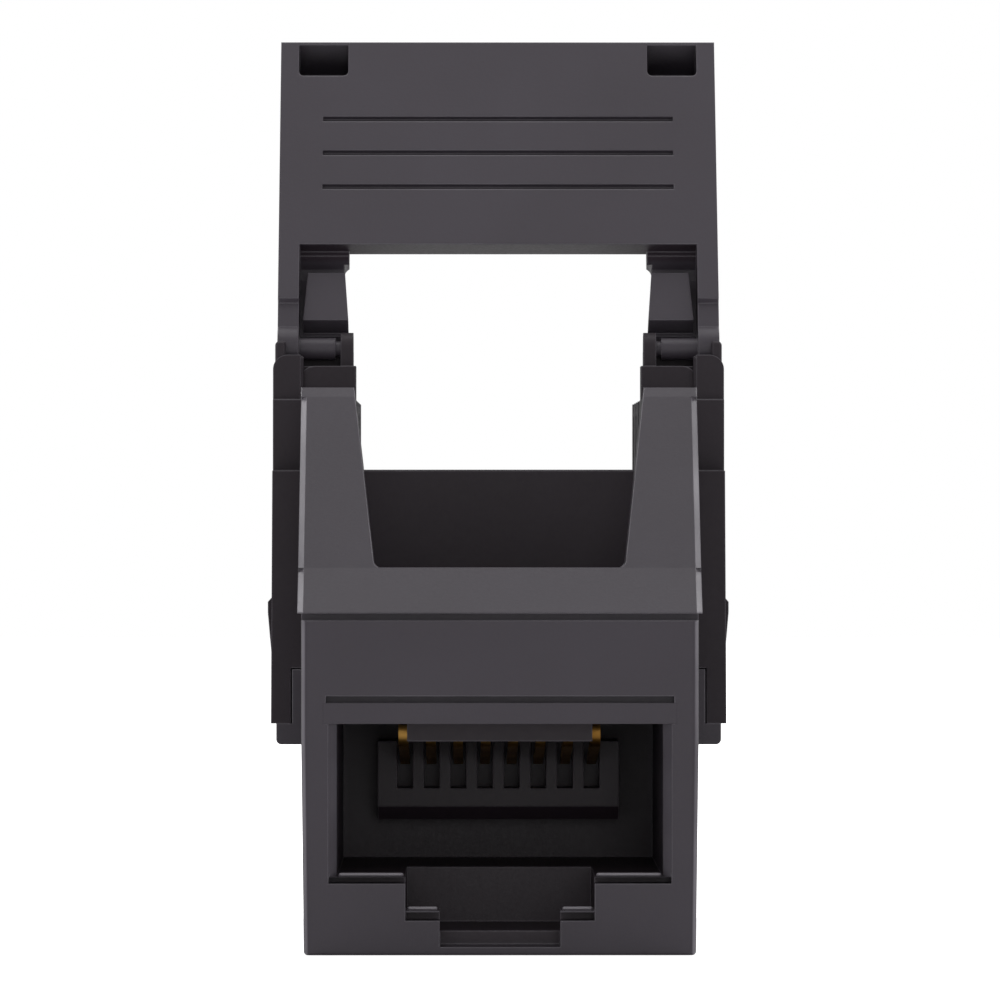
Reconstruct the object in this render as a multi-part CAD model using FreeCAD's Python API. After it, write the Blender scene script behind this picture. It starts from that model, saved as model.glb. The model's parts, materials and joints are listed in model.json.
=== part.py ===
"""Keystone jack with a hinged wire-termination cap, swung open.

Frame: millimetres, +Z up, the plug port faces -Y. The origin is the middle of the
bottom front edge of the nose, so the jack rests on z = 0.
"""
import FreeCAD, Part
import math
import os

V = FreeCAD.Vector

# ---------------------------------------------------------------- driving dimensions
NOSE_WIDTH = 14.5           # standard width of the part that fills the panel opening
NOSE_FOOT_WIDTH = 14.3      # the mould's draft narrows the nose towards the underside
DRAFT_HEIGHT = 8.0
NOSE_DEPTH = 9.5            # front face to the shoulders of the rear block
NOSE_TOP = 13.0
FACE_TOP = 12.2             # top of the flat front face
PANEL_THICKNESS = 1.6       # sheet or frame that the jack clips into

LATCH_WIDTH = 14.8
LATCH_THICKNESS = 1.6
LATCH_GROOVE = 0.25         # height of the groove between face and latch root
LATCH_BASE_TOP = 14.1
LATCH_TOP = 20.8
LATCH_OPENING_TOP = 10.85   # width of the U between the legs, at their tips
LATCH_OPENING_BASE = 9.2

PORT_WIDTH = 11.9
PORT_TOP = 8.43
PORT_DEPTH = 14.6
PORT_FLOOR = 2.85
STEP_WIDTH = 6.9            # the two steps that clear the plug's latch
STEP_FLOOR = 1.62
SLOT_WIDTH = 4.4
SLOT_FLOOR = 0.3
PORT_MOUTH = 0.3            # how much the mouth widens on each side
FRONT_WALL = 1.6            # thickness of the wall that the steps go through

CARRIER_TOP = 9.2
CARRIER_WIDTH = 12.6
CONTACT_COUNT = 8
CONTACT_PITCH = 1.016
CONTACT_WIDTH = 0.36
CONTACT_THICKNESS = 0.3
CONTACT_FRONT = 4.6         # where the contacts leave the carrier and bend down

BLOCK_WIDTH = 17.1
BLOCK_FOOT_WIDTH = 17.2
BLOCK_BACK = 25.4
FLANGE_WIDTH = 16.8
FLANGE_BOTTOM = 7.36
FLANGE_TOP = 8.15
DECK = 10.2                 # top of the housing inside the block: the board lies on it
BOARD_THICKNESS = 1.2
CEILING = 12.0
VALLEY_FLOOR = 13.0
VALLEY_WIDTH = 10.84
SHOULDER_TOP = 17.7
RAIL_TOP = 20.4
EAR_TOP = 21.35
HUMP_TOP = 21.68
LIP_TOP = 22.1

WIRE_SLOTS = 4              # in each of the two rows
SLOT_PITCH = 2.75
FIRST_SLOT = 15.0
WIRE_SLOT_WIDTH = 1.3
WIRE_SLOT_FLOOR = 17.2
BLADE_X = 7.0               # middle plane of each row of blades
BLADE_THICKNESS = 0.3
BLADE_WIDTH = 1.9
BLADE_TOP = 19.9
BLADE_PIN = 0.6             # width of the pin that goes through the board
CHANNEL_FLOOR = 17.9

HINGE_Y = 12.0
HINGE_Z = 22.34
OPEN_ANGLE = 63.0           # from closed, where the cap lies level, to open
CAP_WIDTH = 16.8
CAP_LENGTH = 13.0           # hinge axis to free end
CAP_OUTER = 0.95            # hinge axis to the cap's outer face
CAP_SKIN = 1.3
CAP_WINDOW = 4.05           # hinge axis to the edge of the flat panel
WINDOW_LEAN = 0.27          # how much further the inner edge of the panel starts
CAP_RIM_DEPTH = 1.85        # how far the side walls reach below the axis
ARM_WIDTH = 0.8
BARREL_RADIUS = 0.9
BAR_RADIUS = 0.42
PIN_RADIUS = 0.3
PIN_CLEARANCE = 0.03
CAP_END_WALL = 0.8
CAP_RIBS = ((6.1, 6.6), (7.4, 7.9))
RIB_CLEARANCE = 0.1
RIB_FLOOR_GAP = 0.2
GRIP_LENGTH = 13.5
GRIP_DEPTH = 0.22
WEB_INNER = 5.72
WINDOW_HALF = (5.68, 5.94)
PAD_REACH = (1.1, 3.15)
POCKET_X = (5.79, 7.7)
POCKET_REACH = (11.5, 12.88)
GRIP_PITCH = 1.5
GRIP_WIDTH = 0.22


# ---------------------------------------------------------------- small helpers
def box(x, y, z):
    """A box from three (low, high) pairs."""
    size = [high - low for low, high in (x, y, z)]
    return Part.makeBox(size[0], size[1], size[2], V(x[0], y[0], z[0]))


def centred_box(width, y, z):
    """A box centred across the jack."""
    return box((-width / 2, width / 2), y, z)


def side_prism(points, x):
    """A (y, z) outline drawn from the side, extruded across x = (low, high)."""
    corners = [V(x[0], y, z) for y, z in points]
    face = Part.Face(Part.makePolygon(corners + corners[:1]))
    return face.extrude(V(x[1] - x[0], 0, 0))


def edge_wedge(start, end, x, size):
    """The wedge whose removal chamfers a side edge at x that runs between two (y, z) points."""
    along = V(0, end[0] - start[0], end[1] - start[1])
    outward = V(0, -along.z, along.y).normalize()
    corner = V(x, start[0], start[1])
    over = size * 0.5
    points = [corner + V(over, 0, 0) + outward * over,
              corner + V(over, 0, 0) - outward * (size + over),
              corner - V(size + over, 0, 0) + outward * over]
    face = Part.Face(Part.makePolygon(points + points[:1]))
    return face.extrude(along)


def front_prism(points, y):
    """An (x, z) outline drawn from the front, extruded through y = (low, high)."""
    corners = [V(px, y[0], pz) for px, pz in points]
    face = Part.Face(Part.makePolygon(corners + corners[:1]))
    return face.extrude(V(0, y[1] - y[0], 0))


def plan_prism(points, z):
    """An (x, y) outline drawn from above, extruded through z = (low, high)."""
    corners = [V(px, py, z[0]) for px, py in points]
    face = Part.Face(Part.makePolygon(corners + corners[:1]))
    return face.extrude(V(0, 0, z[1] - z[0]))


def cross_rod(radius, x, y, z):
    """A cylinder along X."""
    return Part.makeCylinder(radius, x[1] - x[0], V(x[0], y, z), V(1, 0, 0))


def mirrored(shape):
    """The same shape on the other side of the jack."""
    return shape.mirror(V(0, 0, 0), V(1, 0, 0))


def both_sides(shapes):
    """Each shape and its mirror image."""
    return shapes + [mirrored(shape) for shape in shapes]


def fused(shapes):
    """One solid from shapes that overlap or share faces."""
    return shapes[0].multiFuse(shapes[1:]).removeSplitter()


def rounded(shape, radius, wanted):
    """Fillet the straight edges that wanted(middle, direction) picks."""
    picked = []
    for edge in shape.Edges:
        if edge.Curve.TypeId != "Part::GeomLine":
            continue
        middle = edge.valueAt((edge.FirstParameter + edge.LastParameter) / 2)
        if wanted(middle, edge.Curve.Direction):
            picked.append(edge)
    return shape.makeFillet(radius, picked)


def chamfered(shape, size, wanted):
    """Chamfer the straight edges that wanted(middle, direction) picks."""
    picked = []
    for edge in shape.Edges:
        if edge.Curve.TypeId != "Part::GeomLine":
            continue
        middle = edge.valueAt((edge.FirstParameter + edge.LastParameter) / 2)
        if wanted(middle, edge.Curve.Direction):
            picked.append(edge)
    return shape.makeChamfer(size, picked)


def contact_xs():
    """Where the plug contacts stand across the port."""
    first = -CONTACT_PITCH * (CONTACT_COUNT - 1) / 2
    return [first + CONTACT_PITCH * i for i in range(CONTACT_COUNT)]


def tail_y(index):
    """Contact tails stand in two staggered rows on the board."""
    return 12.3 + 1.5 * (index % 2)


def slot_ys():
    """Where the wire slots stand along each row."""
    return [FIRST_SLOT + SLOT_PITCH * i for i in range(WIRE_SLOTS)]


# ---------------------------------------------------------------- front housing
def drafted_outline(top):
    """Front outline of nose and foot up to a height: drafted sides, then straight ones."""
    foot = NOSE_FOOT_WIDTH / 2
    full = NOSE_WIDTH / 2
    right = [(foot, 0)]
    if top > DRAFT_HEIGHT:
        right += [(full, DRAFT_HEIGHT), (full, top)]
    else:
        right += [(foot + (full - foot) * top / DRAFT_HEIGHT, top)]
    return right + [(-x, z) for x, z in reversed(right)]


def nose():
    """The block that fills the panel opening, with the groove for the panel's lower edge."""
    body = front_prism(drafted_outline(NOSE_TOP), (0, NOSE_DEPTH))
    above_face = side_prism([(-1, FACE_TOP), (0.4, FACE_TOP), (0.4, FACE_TOP + 0.4), (0.9, NOSE_TOP + 0.1),
                             (0.9, NOSE_TOP + 1), (-1, NOSE_TOP + 1)], (-NOSE_WIDTH, NOSE_WIDTH))
    body = body.cut(above_face)
    body = rounded(body, 0.25, lambda m, d: m.y < 0.01 and abs(d.z) > 0.9)
    body = rounded(body, 0.12, lambda m, d: m.y < 0.01 and m.z < 0.01)
    groove = centred_box(NOSE_WIDTH + 1, (NOSE_DEPTH - PANEL_THICKNESS, NOSE_DEPTH), (-1, 1.1))
    return body.cut(groove)


def rear_body():
    """The part behind the shoulders: foot, flange that carries the block, and inner deck."""
    foot = front_prism(drafted_outline(FLANGE_BOTTOM), (NOSE_DEPTH, BLOCK_BACK - 1.2))
    foot = rounded(foot, 0.4, lambda m, d: m.y > BLOCK_BACK - 1.3 and abs(d.z) > 0.9)
    flange = centred_box(FLANGE_WIDTH, (NOSE_DEPTH, BLOCK_BACK), (FLANGE_BOTTOM, FLANGE_TOP))
    flange = rounded(flange, 0.2, lambda m, d: m.z < FLANGE_BOTTOM + 0.01 and abs(d.y) > 0.9)
    deck = centred_box(15.6, (NOSE_DEPTH, BLOCK_BACK - 1.0), (FLANGE_TOP - 0.1, DECK))
    pin_relief = box((6.5, 7.5), (NOSE_DEPTH + 2, BLOCK_BACK), (DECK - 0.5, DECK + 1))
    body = fused([foot, flange, deck])
    for relief in both_sides([pin_relief]):
        body = body.cut(relief)
    return body


def port_cavity():
    """Everything that is cut away to make the plug port."""
    main = centred_box(PORT_WIDTH, (-1, PORT_DEPTH), (PORT_FLOOR, PORT_TOP))
    step = centred_box(STEP_WIDTH, (-1, FRONT_WALL + 0.1), (STEP_FLOOR, PORT_TOP))
    slot = centred_box(SLOT_WIDTH, (-1, FRONT_WALL + 0.1), (SLOT_FLOOR, PORT_TOP))
    chamber = centred_box(STEP_WIDTH, (FRONT_WALL, NOSE_DEPTH - PANEL_THICKNESS - 0.5), (0.8, PORT_TOP))
    half = PORT_WIDTH / 2
    mouth = plan_prism([(-half - PORT_MOUTH, -0.1), (half + PORT_MOUTH, -0.1),
                        (half + PORT_MOUTH, 0.05), (half, 0.6), (-half, 0.6),
                        (-half - PORT_MOUTH, 0.05)], (PORT_FLOOR, PORT_TOP))
    return fused([main, step, slot, chamber, mouth])


def ledge_reliefs():
    """Fine slots that leave a thin lip along the front of each ledge of the port."""
    half = PORT_WIDTH / 2 + PORT_MOUTH
    lower_main = box((STEP_WIDTH / 2 - 0.01, half), (-1, 1.0), (PORT_FLOOR - 0.24, PORT_FLOOR - 0.01))
    lip_main = box((STEP_WIDTH / 2 - 0.01, half), (-1, 0.1), (PORT_FLOOR - 0.24, PORT_FLOOR + 0.1))
    step_floor = STEP_FLOOR - 0.36
    lower_step = box((SLOT_WIDTH / 2 - 0.01, STEP_WIDTH / 2), (-1, 1.0), (step_floor, step_floor + 0.3))
    lip_step = box((SLOT_WIDTH / 2 - 0.01, STEP_WIDTH / 2), (-1, 0.1), (step_floor, STEP_FLOOR + 0.1))
    return both_sides([lower_main, lip_main, lower_step, lip_step])


def carrier_channel():
    """The slide for the contact carrier, taller at the mouth so that a shadow line shows."""
    slide = centred_box(CARRIER_WIDTH + 0.1, (-1, 11.7), (PORT_TOP, CARRIER_TOP + 0.04))
    shadow = centred_box(CARRIER_WIDTH + 0.1, (-1, 1.2), (PORT_TOP, CARRIER_TOP + 0.24))
    tails = centred_box(8.6, (11.0, PORT_DEPTH), (PORT_TOP - 0.1, DECK + 1))
    return fused([slide, shadow, tails])


def rear_comb():
    """The comb at the back of the port that guides the free ends of the contacts."""
    bar = centred_box(9.2, (12.2, PORT_DEPTH + 0.2), (4.4, 7.4))
    bar = chamfered(bar, 0.5, lambda m, d: m.y < 12.3 and m.z < 4.5)
    for x in contact_xs():
        bar = bar.cut(box((x - 0.3, x + 0.3), (12, 13.9), (5.6, 8)))
    return bar


def latch():
    """The sloping U-shaped flex latch: root web, two legs and the catch at their tips."""
    root = (0.15, FACE_TOP + LATCH_GROOVE)
    knee = (1.75, LATCH_BASE_TOP)
    tip = (6.75, LATCH_TOP - 0.35)
    crest = (7.15, LATCH_TOP)
    catch_y = NOSE_DEPTH - PANEL_THICKNESS
    behind = [(catch_y - 0.3, LATCH_TOP), (catch_y, LATCH_TOP - 0.3), (catch_y, 19.0),
              (knee[0] + LATCH_THICKNESS * 1.3, LATCH_BASE_TOP - 0.35), (2.6, NOSE_TOP - 0.2),
              (0.9, NOSE_TOP - 0.2), (0.9, root[1])]
    half = LATCH_WIDTH / 2
    lever = side_prism([root, knee, tip, crest] + behind, (-half, half))
    for rim in both_sides([edge_wedge(root, knee, half, 0.22), edge_wedge(knee, tip, half, 0.22)]):
        lever = lever.cut(rim)
    top = LATCH_OPENING_TOP / 2
    base = LATCH_OPENING_BASE / 2
    draft = (LATCH_TOP + 1 - LATCH_BASE_TOP) / (LATCH_TOP - LATCH_BASE_TOP)
    wide = base + (top - base) * draft
    opening = front_prism([(-base, LATCH_BASE_TOP), (base, LATCH_BASE_TOP),
                           (wide, LATCH_TOP + 1), (-wide, LATCH_TOP + 1)], (-1, NOSE_DEPTH))
    opening = rounded(opening, 0.25, lambda m, d: m.z < LATCH_BASE_TOP + 0.01 and abs(d.y) > 0.9)
    return lever.cut(opening)


def jack_housing():
    """Nose, port, flex latch and the rear body, moulded in one piece."""
    shell = fused([nose(), rear_body(), latch()])
    for cutter in [port_cavity(), carrier_channel()] + ledge_reliefs():
        shell = shell.cut(cutter)
    return fused([shell, rear_comb()])


# ---------------------------------------------------------------- contacts and board
def contact_carrier():
    """The plate that slides in above the port and holds the contacts under it."""
    plate = centred_box(CARRIER_WIDTH, (0.03, 11.6), (PORT_TOP, CARRIER_TOP))
    lip = centred_box(6.8, (2.0, 2.35), (PORT_TOP - 0.7, PORT_TOP + 0.1))
    carrier = fused([plate, lip])
    half = CONTACT_WIDTH / 2
    for x in contact_xs():
        groove = box((x - half, x + half), (CONTACT_FRONT - 0.7, 12),
                     (PORT_TOP - 0.01, PORT_TOP + CONTACT_THICKNESS / 2))
        carrier = carrier.cut(groove)
    return carrier


def contact(index):
    """One plug contact: tail on the board, run under the carrier, bend, and sloping spring."""
    x = contact_xs()[index]
    rear = tail_y(index)
    run_z = PORT_TOP
    bend = 0.42
    front = CONTACT_FRONT
    slope = math.radians(6.5)
    top = V(x, rear, DECK + BOARD_THICKNESS + 0.3)
    knee_top = V(x, rear, run_z + 0.4)
    knee_mid = V(x, rear - 0.4 * (1 - math.cos(math.pi / 4)), run_z + 0.4 * (1 - math.sin(math.pi / 4)))
    knee_front = V(x, rear - 0.4, run_z)
    bend_top = V(x, front, run_z)
    bend_mid = V(x, front - bend, run_z - bend)
    bend_low = V(x, front - bend * math.sin(slope), run_z - bend - bend * math.cos(slope))
    reach = 12.9 - bend_low.y
    end = V(x, bend_low.y + reach, bend_low.z - reach * math.tan(slope))
    path = Part.Wire([
        Part.makeLine(top, knee_top),
        Part.Arc(knee_top, knee_mid, knee_front).toShape(),
        Part.makeLine(knee_front, bend_top),
        Part.Arc(bend_top, bend_mid, bend_low).toShape(),
        Part.makeLine(bend_low, end),
    ])
    across = V(CONTACT_WIDTH / 2, 0, 0)
    deep = V(0, CONTACT_THICKNESS / 2, 0)
    corners = [top - across - deep, top + across - deep, top + across + deep, top - across + deep]
    section = Part.makePolygon(corners + corners[:1])
    return path.makePipeShell([section], True, False)


def circuit_board():
    """The board that joins the contacts to the blades."""
    tail_hole = math.hypot(CONTACT_WIDTH / 2, CONTACT_THICKNESS / 2)
    pin_hole = math.hypot(BLADE_THICKNESS / 2, BLADE_PIN / 2)
    board = centred_box(15.4, (NOSE_DEPTH + 1.6, BLOCK_BACK - 1.1), (DECK, DECK + BOARD_THICKNESS))
    for index, x in enumerate(contact_xs()):
        board = board.cut(Part.makeCylinder(tail_hole, 3, V(x, tail_y(index), DECK - 1)))
    for y in slot_ys():
        for x in (-BLADE_X, BLADE_X):
            board = board.cut(Part.makeCylinder(pin_hole, 3, V(x, y, DECK - 1)))
    return board


def idc_terminal(side, y):
    """One insulation-displacement blade: forked plate with a lead-in and a board pin."""
    x = (side * BLADE_X - BLADE_THICKNESS / 2, side * BLADE_X + BLADE_THICKNESS / 2)
    half = BLADE_WIDTH / 2
    pin = BLADE_PIN / 2
    fork = 0.16
    mouth = 0.55
    outline = [(y - pin, 9.9), (y + pin, 9.9), (y + pin, CEILING + 0.1), (y + half, CEILING + 0.1),
               (y + half, BLADE_TOP - 0.3), (y + mouth, BLADE_TOP), (y + fork, BLADE_TOP - 0.8),
               (y + fork, 15.2), (y - fork, 15.2), (y - fork, BLADE_TOP - 0.8), (y - mouth, BLADE_TOP),
               (y - half, BLADE_TOP - 0.3), (y - half, CEILING + 0.1), (y - pin, CEILING + 0.1)]
    return side_prism(outline, x)


# ---------------------------------------------------------------- terminal block
def block_shell():
    """The U-shaped moulding: shoulders, side walls with draft, and the cable valley."""
    foot = BLOCK_FOOT_WIDTH / 2
    top = BLOCK_WIDTH / 2
    low = front_prism([(-foot, FLANGE_TOP), (foot, FLANGE_TOP), (top, SHOULDER_TOP), (-top, SHOULDER_TOP)],
                      (NOSE_DEPTH, BLOCK_BACK))
    high = centred_box(BLOCK_WIDTH, (NOSE_DEPTH + 0.9, BLOCK_BACK), (SHOULDER_TOP - 0.1, RAIL_TOP))
    body = fused([low, high])
    body = rounded(body, 0.3, lambda m, d: m.y > BLOCK_BACK - 0.01 and abs(d.z) > 0.7)
    valley = centred_box(VALLEY_WIDTH, (NOSE_DEPTH + 1.4, BLOCK_BACK + 1), (VALLEY_FLOOR, RAIL_TOP + 1))
    valley = rounded(valley, 0.5, lambda m, d: m.z < VALLEY_FLOOR + 0.01 and abs(d.y) > 0.9)
    over_wall = centred_box(VALLEY_WIDTH, (0, NOSE_DEPTH + 2), (SHOULDER_TOP + 0.04, RAIL_TOP + 1))
    over_wall = rounded(over_wall, 0.25, lambda m, d: m.z < SHOULDER_TOP + 0.05 and abs(d.y) > 0.9)
    board_room = centred_box(15.7, (NOSE_DEPTH + 1.4, BLOCK_BACK - 1.0), (FLANGE_TOP - 1, CEILING))
    deck_room = centred_box(15.7, (0, NOSE_DEPTH + 2), (FLANGE_TOP - 1, DECK + 0.05))
    for cutter in (valley, over_wall, board_room, deck_room):
        body = body.cut(cutter)
    return body


def snap_boss():
    """A wedge-shaped bulge on the side wall over the snap that holds block and housing."""
    foot = BLOCK_FOOT_WIDTH / 2
    wedge = front_prism([(foot - 0.4, 9.3), (foot - 0.06, 9.3), (foot + 0.2, 12.3), (foot + 0.2, 12.7),
                         (foot - 0.06, 13.0), (foot - 0.4, 13.0)], (12.6, 17.0))
    return wedge


def hinge_tower():
    """One side's hinge support: ear with its front lip, hump, screen and pin plate."""
    outer = BLOCK_WIDTH / 2
    inner = VALLEY_WIDTH / 2
    split = CAP_WIDTH / 2 - ARM_WIDTH - 0.1
    y = (NOSE_DEPTH + 1.4, HINGE_Y + 0.8)
    ear = box((split, outer), y, (RAIL_TOP - 0.5, EAR_TOP))
    ear = rounded(ear, 0.4, lambda m, d: m.x > outer - 0.01 and m.z > EAR_TOP - 0.01)
    lip = box((split, outer), (y[0] - 0.3, HINGE_Y - BARREL_RADIUS - 0.06), (RAIL_TOP - 0.5, LIP_TOP))
    lip = rounded(lip, 0.55, lambda m, d: m.x > outer - 0.01 and m.z > EAR_TOP)
    screen = box((inner + 0.1, split), (HINGE_Y + 0.52, y[1]), (RAIL_TOP - 0.5, HINGE_Z - 0.1))
    sill = box((split - 0.7, split), (HINGE_Y - 0.4, y[1]), (RAIL_TOP - 0.5, HUMP_TOP))
    hump = box((inner, split + 0.05), y, (RAIL_TOP - 0.5, HUMP_TOP))
    hump = rounded(hump, 0.6, lambda m, d: m.x > split and m.z > HUMP_TOP - 0.01)
    plate_x = (inner + 0.1, inner + 0.58)
    plate = box(plate_x, (HINGE_Y - 0.62, HINGE_Y + 0.62), (HUMP_TOP - 0.3, HINGE_Z))
    crown = cross_rod(0.62, plate_x, HINGE_Y, HINGE_Z)
    tower = fused([ear, lip, screen, sill, hump, plate, crown])
    return tower.cut(cross_rod(PIN_RADIUS + PIN_CLEARANCE, (inner - 1, inner + 2), HINGE_Y, HINGE_Z))


def row_cutters():
    """One side's cuts: wire slots with lead-ins, channels for the cap's ribs, blade pockets."""
    span = (VALLEY_WIDTH / 2 - 0.5, BLOCK_WIDTH / 2 + 0.5)
    start = HINGE_Y + 1.3
    cutters = []
    for low, high in CAP_RIBS:
        channel_x = (low - RIB_CLEARANCE, high + RIB_CLEARANCE)
        cutters.append(box(channel_x, (start, BLOCK_BACK + 1), (CHANNEL_FLOOR, RAIL_TOP + 1)))
    half = WIRE_SLOT_WIDTH / 2
    for y in slot_ys():
        cutters.append(side_prism([(y - half, WIRE_SLOT_FLOOR + 0.4), (y - half + 0.4, WIRE_SLOT_FLOOR),
                                   (y + half - 0.4, WIRE_SLOT_FLOOR), (y + half, WIRE_SLOT_FLOOR + 0.4),
                                   (y + half, RAIL_TOP - 0.5), (y + half + 0.45, RAIL_TOP + 0.1),
                                   (y - half - 0.45, RAIL_TOP + 0.1), (y - half, RAIL_TOP - 0.5)], span))
        pocket_x = (BLADE_X - BLADE_THICKNESS / 2 - 0.05, BLADE_X + BLADE_THICKNESS / 2 + 0.05)
        pocket_y = (y - BLADE_WIDTH / 2 - 0.05, y + BLADE_WIDTH / 2 + 0.05)
        cutters.append(box(pocket_x, pocket_y, (CEILING - 1, RAIL_TOP + 1)))
    return cutters


def terminal_block():
    """The rear moulding with two rows of four wire slots and the hinge supports."""
    body = block_shell()
    for cutter in both_sides(row_cutters()):
        body = body.cut(cutter)
    return fused([body] + both_sides([snap_boss(), hinge_tower()]))


# ---------------------------------------------------------------- termination cap
def cap_panel():
    """The flat lid with its rim, end wall and three grip grooves, drawn lying closed."""
    half = CAP_WIDTH / 2
    skin = side_prism([(CAP_WINDOW, CAP_OUTER), (CAP_LENGTH, CAP_OUTER), (CAP_LENGTH, CAP_OUTER - CAP_SKIN),
                       (CAP_WINDOW + WINDOW_LEAN, CAP_OUTER - CAP_SKIN)], (-half, half))
    grip_middle = (CAP_WINDOW + CAP_LENGTH) / 2 - 0.45
    for i in (-1, 0, 1):
        y = grip_middle + i * GRIP_PITCH
        groove = centred_box(GRIP_LENGTH, (y - GRIP_WIDTH / 2, y + GRIP_WIDTH / 2),
                             (CAP_OUTER - GRIP_DEPTH, CAP_OUTER + 1))
        skin = skin.cut(groove)
    end_wall = centred_box(CAP_WIDTH, (CAP_LENGTH - CAP_END_WALL, CAP_LENGTH), (-CAP_RIM_DEPTH, 0))
    return fused([skin, end_wall])


def cap_side():
    """One side of the cap: wall, hinge arm and barrel, trunnion, web, pad and press ribs."""
    outer = CAP_WIDTH / 2
    wall_x = (outer - ARM_WIDTH, outer)
    wall = side_prism([(0, -BARREL_RADIUS), (1.6, -BARREL_RADIUS), (1.9, -CAP_RIM_DEPTH),
                       (CAP_LENGTH, -CAP_RIM_DEPTH), (CAP_LENGTH, CAP_OUTER), (1.7, CAP_OUTER),
                       (1.6, CAP_OUTER - 0.22), (0.4, CAP_OUTER - 0.3), (0, CAP_OUTER - 0.3)], wall_x)
    barrel = cross_rod(BARREL_RADIUS, wall_x, 0, 0)
    bar = cross_rod(BAR_RADIUS, (6.2, wall_x[0] + 0.1), 0, 0)
    pin = cross_rod(PIN_RADIUS, (VALLEY_WIDTH / 2 + 0.1, 6.3), 0, 0)
    web = side_prism([(0.95, -1.45), (5.0, -1.45), (5.0, 0), (CAP_WINDOW, 0), (3.75, -0.55),
                      (3.4, -0.75), (0.95, -0.75)], (WEB_INNER, wall_x[0] + 0.1))
    window_top = CAP_WINDOW + WINDOW_LEAN
    window = plan_prism([(5, 0.5), (WINDOW_HALF[0], 0.5), (WINDOW_HALF[1], window_top), (5, window_top)],
                        (-2, CAP_OUTER - CAP_SKIN))
    window = rounded(window, 0.4, lambda m, d: abs(d.z) > 0.9 and m.x > 5.8)
    web = web.cut(window)
    pad = plan_prism([(WEB_INNER, PAD_REACH[0]), (7.45, PAD_REACH[0]), (7.28, PAD_REACH[1]),
                      (5.86, PAD_REACH[1])], (-0.8, 0.3))
    rib_foot = CHANNEL_FLOOR + RIB_FLOOR_GAP - HINGE_Z
    rib_end = CAP_LENGTH - CAP_END_WALL
    rib_outline = [(1.9, rib_foot), (rib_end, rib_foot), (rib_end, -0.3), (window_top + 0.1, -0.3),
                   (window_top + 0.1, -1), (1.9, -1)]
    ribs = [side_prism(rib_outline, rib_x) for rib_x in CAP_RIBS]
    return fused([wall, barrel, bar, pin, web, pad] + ribs)


def corner_pocket():
    """The dark corner pocket that a release tool or fingernail reaches into."""
    pocket = box(POCKET_X, POCKET_REACH, (-CAP_RIM_DEPTH + 0.5, CAP_OUTER + 1))
    return rounded(pocket, 0.2, lambda m, d: m.y < POCKET_REACH[0] + 0.1 and abs(d.z) > 0.9)


def termination_cap():
    """The hinged cap, turned up to its open position on the hinge axis."""
    cap = fused([cap_panel()] + both_sides([cap_side()]))
    for pocket in both_sides([corner_pocket()]):
        cap = cap.cut(pocket)
    cap.rotate(V(0, 0, 0), V(1, 0, 0), OPEN_ANGLE)
    cap.translate(V(0, HINGE_Y, HINGE_Z))
    return cap


# ---------------------------------------------------------------- write the parts
def all_parts():
    """Every sub-part by node name."""
    parts = {
        "jack_housing": jack_housing(),
        "contact_carrier": contact_carrier(),
        "circuit_board": circuit_board(),
        "terminal_block": terminal_block(),
        "termination_cap": termination_cap(),
    }
    for index in range(CONTACT_COUNT):
        parts["contact_%d" % (index + 1)] = contact(index)
    for row, side in enumerate((-1, 1)):
        for place, y in enumerate(slot_ys()):
            number = row * WIRE_SLOTS + place + 1
            parts["idc_terminal_%d" % number] = idc_terminal(side, y)
    return parts


os.makedirs("parts", exist_ok=True)
for name, shape in all_parts().items():
    shape.exportStep("parts/%s.step" % name)
    print(name, "solids", len(shape.Solids), "valid", shape.isValid(), "volume %.2f" % shape.Volume)
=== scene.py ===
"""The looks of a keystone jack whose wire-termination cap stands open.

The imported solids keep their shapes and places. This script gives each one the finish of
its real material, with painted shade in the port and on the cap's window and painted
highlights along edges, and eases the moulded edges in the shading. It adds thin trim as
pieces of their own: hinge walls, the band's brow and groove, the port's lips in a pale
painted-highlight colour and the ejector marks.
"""

import json
import logging
import math
from dataclasses import dataclass, field
from enum import Enum
from typing import Any

import bpy
import numpy as np
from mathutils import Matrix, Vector

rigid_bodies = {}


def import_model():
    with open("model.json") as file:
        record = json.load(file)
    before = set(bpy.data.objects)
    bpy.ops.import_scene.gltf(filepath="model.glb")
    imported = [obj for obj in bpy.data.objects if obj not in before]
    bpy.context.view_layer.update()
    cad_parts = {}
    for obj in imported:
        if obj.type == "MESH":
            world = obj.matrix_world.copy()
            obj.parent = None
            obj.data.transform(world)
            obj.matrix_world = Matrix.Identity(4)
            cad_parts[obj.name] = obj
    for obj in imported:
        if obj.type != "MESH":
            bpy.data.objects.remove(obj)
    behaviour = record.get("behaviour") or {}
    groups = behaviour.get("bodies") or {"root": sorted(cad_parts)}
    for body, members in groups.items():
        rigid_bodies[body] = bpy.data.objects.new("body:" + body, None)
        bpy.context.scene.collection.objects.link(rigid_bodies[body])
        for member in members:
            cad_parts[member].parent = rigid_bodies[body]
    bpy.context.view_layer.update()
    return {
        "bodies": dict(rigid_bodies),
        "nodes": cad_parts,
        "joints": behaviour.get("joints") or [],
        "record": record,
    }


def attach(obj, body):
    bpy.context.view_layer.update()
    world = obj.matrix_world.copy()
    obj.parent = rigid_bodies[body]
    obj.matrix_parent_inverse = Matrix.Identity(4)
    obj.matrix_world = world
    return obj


LOG = logging.getLogger("keystone_jack")
MM = 0.001


# ------------------------------------------------------------------ colour and nodes
def linear(hex_colour: str) -> tuple[float, float, float, float]:
    """Turn an sRGB hex colour into the linear values that shaders take.

    Args:
        hex_colour: six hex digits with a leading hash.

    Returns:
        Linear red, green and blue, and an alpha of one.
    """
    parts = [int(hex_colour[i:i + 2], 16) / 255 for i in (1, 3, 5)]
    flat = [c / 12.92 if c <= 0.04045 else ((c + 0.055) / 1.055) ** 2.4 for c in parts]
    return (flat[0], flat[1], flat[2], 1.0)


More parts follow.
